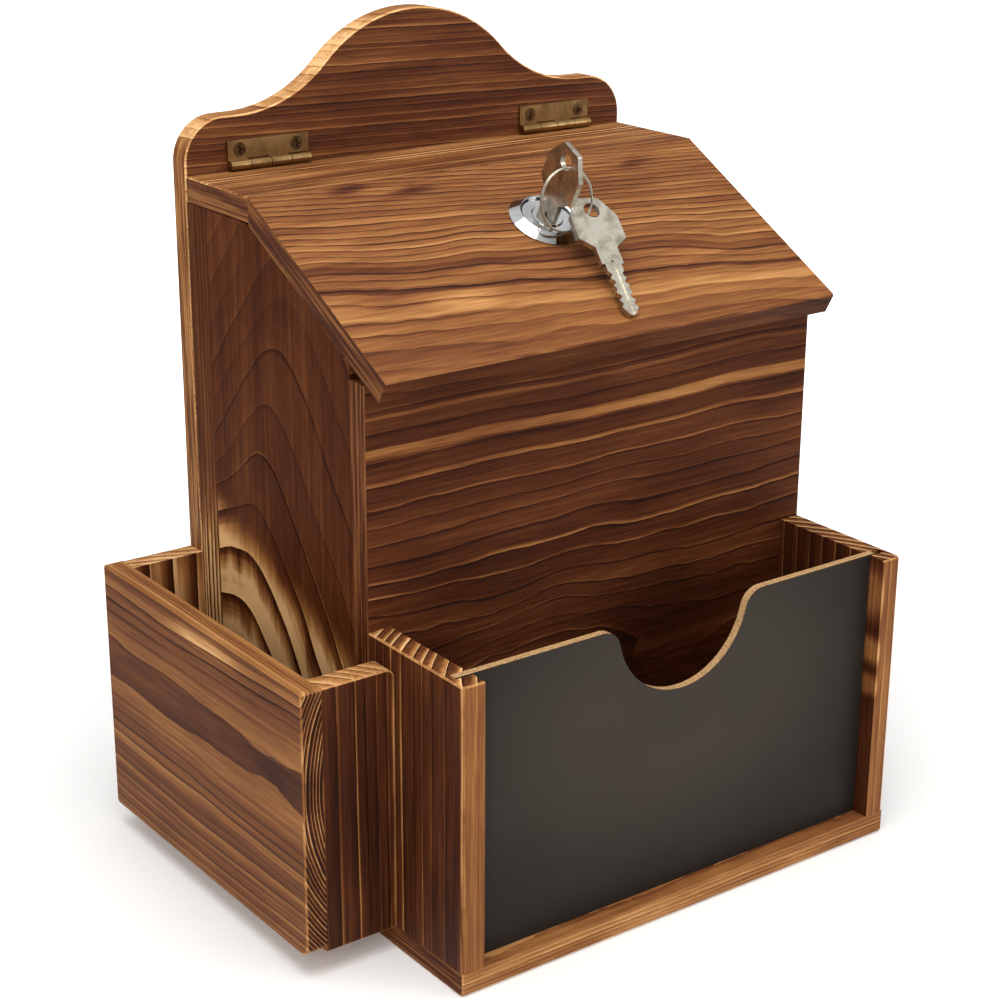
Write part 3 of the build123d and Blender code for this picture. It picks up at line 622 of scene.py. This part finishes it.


# Blackboard panel: matt black faces with painted shade towards their rim, bare fibre board edges

blackboard = {
    "face": paint(58, 51, 45),
    "dust": paint(64, 56, 49),
    "cloudSize": (40.0, 30.0),
    "cloudSpan": (0.35, 0.75),
    "rim": paint(40, 35, 31),    # painted shade: the face darkens to this outside the "middle", where shade falls along the cheeks and edges
    # the lit middle of the face, outside which the painted shade begins
    "middle": {"at": (-5.0, -47.0, 80.0), "size": (104.0, 60.0, 62.0), "ragged": 0.3},
    "edge": paint(198, 160, 112),
    "edgeDark": paint(150, 112, 74),
    "speckSize": (1.1, 0.8),
    "speckSpan": (0.35, 0.7),
    "faceTurn": (0.6, 0.8),
    "roughness": (0.5, 0.62),
    "sheen": 0.12,
    "grit": 0.03 * mm,
}


def blackboardPanel(look):
    material, tree, shader = newMaterial("blackboardFace")
    place = alongGrain(tree, {"grain": "x"})
    cloud = grainNoise(tree, place, *look["cloudSize"], 1.0, 4.0, 0.6)
    face = blended(tree, stepped(tree, cloud, *look["cloudSpan"]), look["face"], look["dust"])
    # painted shade: outside the middle the face turns to the darker "rim" colour
    face = blended(tree, softPatch(tree, look["middle"], cloud), look["rim"], face)
    speck = grainNoise(tree, place, *look["speckSize"], 4.0, 3.0, 0.7)
    edge = blended(tree, stepped(tree, speck, *look["speckSpan"]), look["edge"], look["edgeDark"])
    normal = tree.nodes.new("ShaderNodeTexCoord").outputs["Normal"]
    isFace = stepped(tree, calc(tree, "ABSOLUTE", split(tree, normal)[1]), *look["faceTurn"])
    plug(tree, blended(tree, isFace, edge, face), shader.inputs["Base Color"])
    plug(tree, stepped(tree, cloud, *noiseSpan, *look["roughness"]), shader.inputs["Roughness"])
    shader.inputs["Specular IOR Level"].default_value = look["sheen"]
    plug(tree, bumped(tree, speck, look["grit"]), shader.inputs["Normal"])
    return material


dress(blackboardPanel(blackboard), "blackboard_panel")
print("blackboard dressed")


# Metal

scratchSize = (3.0, 0.12)     # length and width in millimetres
mottleSpan = (0.35, 0.68)     # between these values of the noise the bright colour turns dull


def metal(name, look):
    material, tree, shader = newMaterial(name)
    place = alongGrain(tree, {"grain": "x"})
    cloud = grainNoise(tree, place, look["mottle"], look["mottle"], look["seed"], 4.0, 0.65)
    colour = blended(tree, stepped(tree, cloud, *mottleSpan), look["bright"], look["dull"])
    plug(tree, colour, shader.inputs["Base Color"])
    shader.inputs["Metallic"].default_value = 1.0
    plug(tree, stepped(tree, cloud, *noiseSpan, *look["roughness"]), shader.inputs["Roughness"])
    scratches = grainNoise(tree, place, *scratchSize, look["seed"] + 2.0, 3.0, 0.6)
    plug(tree, bumped(tree, scratches, look["scratch"] * mm), shader.inputs["Normal"])
    return material


hingeBrass = {
    "bright": paint(166, 134, 88), "dull": paint(126, 98, 62), "mottle": 9.0, "seed": 2.0,
    "roughness": (0.3, 0.46), "scratch": 0.012,
}
screwBronze = {
    "bright": paint(120, 92, 60), "dull": paint(70, 50, 32), "mottle": 4.0, "seed": 6.0,
    "roughness": (0.3, 0.5), "scratch": 0.012,
}
lockChrome = {
    "bright": paint(200, 200, 200), "dull": paint(178, 178, 178), "mottle": 9.0, "seed": 3.0,
    "roughness": (0.04, 0.1), "scratch": 0.002,
}
keyNickel = {
    "bright": paint(204, 198, 183), "dull": paint(150, 142, 126), "mottle": 6.0, "seed": 4.0,
    "roughness": (0.26, 0.4), "scratch": 0.008,
}
dress(
    metal("hingeBrass", hingeBrass), "left_hinge_fixed_leaf", "right_hinge_fixed_leaf",
    "left_hinge_pin", "right_hinge_pin", "left_hinge_lid_leaf", "right_hinge_lid_leaf",
)
dress(metal("screwBronze", screwBronze), "fixed_leaf_screws", "lid_leaf_screws")
dress(
    metal("lockChrome", lockChrome),
    "lock_housing", "lock_bezel", "lock_nut", "lock_plug", "lock_cam", "cam_screw",
)
nickel = metal("keyNickel", keyNickel)
dress(nickel, "key", "spare_key")

splitRing = {
    "middle": (5.006 * mm, 28.546 * mm, 245.926 * mm),
    "outward": (0.0, -0.99863, 0.052336),     # the ring's axis
    "radius": 11.4 * mm,
    "wire": 0.36 * mm,        # radius of the wire, which goes round twice
    "spread": 1.04,           # how far each coil lies from the middle, in radii of the wire
    "steps": 72,              # points in one turn
    "sides": 10,
    "crossing": 0.2,          # share of a turn in which the wire passes from one coil to the other
}


def coiledRing(look, material):
    # two turns of wire side by side, with the cut ends lying against the other turn
    outward = Vector(look["outward"]).normalized()
    right = Vector((1.0, 0.0, 0.0))
    up = outward.cross(right)
    total = 2 * look["steps"]
    vertices, faces = [], []
    for step in range(total + 1):
        turn = 2 * math.pi * step / look["steps"]
        share = (step / total - 0.5) * 2 / look["crossing"]
        coil = max(-1.0, min(1.0, share))
        coil = 0.5 * coil * (3 - coil * coil)     # eased at both ends of the crossing
        away = right * math.cos(turn) + up * math.sin(turn)
        middle = Vector(look["middle"]) + away * look["radius"]
        middle += outward * (coil * look["spread"] * look["wire"])
        for side in range(look["sides"]):
            angle = 2 * math.pi * side / look["sides"]
            vertices.append(middle + (away * math.cos(angle) + outward * math.sin(angle)) * look["wire"])
    for step in range(total):
        for side in range(look["sides"]):
            first, second = step * look["sides"] + side, step * look["sides"] + (side + 1) % look["sides"]
            faces.append((first, second, second + look["sides"], first + look["sides"]))
    faces.append(tuple(reversed(range(look["sides"]))))
    faces.append(tuple(range(total * look["sides"], (total + 1) * look["sides"])))
    mesh = bpy.data.meshes.new("split_key_ring")
    mesh.from_pydata(vertices, [], faces)
    mesh.polygons.foreach_set("use_smooth", [True] * (len(faces) - 2) + [False] * 2)
    mesh.materials.append(material)
    ring = bpy.data.objects.new("split_key_ring", mesh)
    bpy.context.scene.collection.objects.link(ring)
    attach(ring, "ring")
    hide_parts("key_ring")


coiledRing(splitRing, nickel)
print("metal dressed")


# Floor, light and camera

studio = {
    "floor": paint(244, 243, 241),
    "floorSize": 14.0,
    "floorRoughness": 0.9,
    "floorGlow": 0.1,         # seen by the camera only, and full at the far end of "glowReach"
    "glowReach": (0.15, 0.75),
    "ambient": 0.42,
    "lowSky": 0.12,           # how dark polished metal sees the sky near the horizon
    "skyReach": (0.3, 0.9),
    "lamps": (
        # name, place, aim, size, power
        ("overhead", (-0.25, -0.25, 1.5), (0.0, 0.03, 0.15), 1.3, 17.0),
        ("frontLeft", (-1.3, -1.1, 0.9), (-0.02, 0.0, 0.13), 0.9, 9.0),
        ("frontRight", (1.1, -1.3, 0.8), (0.0, 0.0, 0.13), 1.0, 8.0),
    ),
}


def floorAndSky(look):
    bpy.ops.mesh.primitive_plane_add(size=look["floorSize"])
    floor = bpy.context.object
    floor.name = "studio_floor"
    material, tree, shader = newMaterial("studioFloor")
    shader.inputs["Base Color"].default_value = look["floor"]
    shader.inputs["Roughness"].default_value = look["floorRoughness"]
    shader.inputs["Emission Color"].default_value = (1.0, 1.0, 1.0, 1.0)
    light = tree.nodes.new("ShaderNodeLightPath")
    away = tree.nodes.new("ShaderNodeVectorMath")
    away.operation = "LENGTH"
    tree.links.new(tree.nodes.new("ShaderNodeTexCoord").outputs["Object"], away.inputs[0])
    glow = stepped(tree, away.outputs["Value"], *look["glowReach"], look["floorGlow"], 1.0)
    glow = calc(tree, "MULTIPLY", light.outputs["Is Camera Ray"], glow)
    plug(tree, glow, shader.inputs["Emission Strength"])
    floor.data.materials.append(material)
    world = bpy.data.worlds.new("studioSky")
    bpy.context.scene.world = world
    world.use_nodes = True
    tree = world.node_tree
    background = tree.nodes["Background"]
    background.inputs["Color"].default_value = (1.0, 1.0, 1.0, 1.0)
    light = tree.nodes.new("ShaderNodeLightPath")
    seen = calc(tree, "MAXIMUM", light.outputs["Is Camera Ray"], light.outputs["Is Transmission Ray"])
    height = split(tree, tree.nodes.new("ShaderNodeTexCoord").outputs["Generated"])[2]
    ambient = look["ambient"]
    mirrored = stepped(tree, height, *look["skyReach"], look["lowSky"] - ambient, 1.0 - ambient)
    strength = added(
        tree, ambient, calc(tree, "MULTIPLY", seen, 1.0 - ambient),
        calc(tree, "MULTIPLY", light.outputs["Is Glossy Ray"], mirrored),
    )
    plug(tree, strength, background.inputs["Strength"])


def lamps(look):
    for name, place, aim, size, power in look["lamps"]:
        light = bpy.data.lights.new(name, "AREA")
        light.shape = "DISK"
        light.size = size
        light.energy = power
        lamp = bpy.data.objects.new(name, light)
        lamp.location = place
        lamp.rotation_euler = (Vector(aim) - Vector(place)).to_track_quat("-Z", "Y").to_euler()
        bpy.context.scene.collection.objects.link(lamp)


floorAndSky(studio)
lamps(studio)

photoCamera = {
    # fitted to the photograph, angles in degrees
    "place": (-0.46202, -0.56376, 0.40392),
    "azimuth": -36.512,
    "elevation": 19.818,
    "roll": 0.34,
    "lens": 77.155,
    "sensor": 36.0,           # the picture is square
}


def makeCamera(look):
    data = bpy.data.cameras.new("photoCamera")
    data.lens = look["lens"]
    data.sensor_width = look["sensor"]
    camera = bpy.data.objects.new("photoCamera", data)
    turn, rise = math.radians(look["azimuth"]), math.radians(look["elevation"])
    ahead = Vector((-math.sin(turn) * math.cos(rise), math.cos(turn) * math.cos(rise), -math.sin(rise)))
    level = ahead.to_track_quat("-Z", "Y")
    camera.rotation_mode = "QUATERNION"
    camera.rotation_quaternion = level @ Quaternion((0, 0, 1), math.radians(look["roll"]))
    camera.location = look["place"]
    bpy.context.scene.collection.objects.link(camera)
    bpy.context.scene.camera = camera


makeCamera(photoCamera)
bpy.context.scene.view_settings.view_transform = "Standard"
print("studio ready")
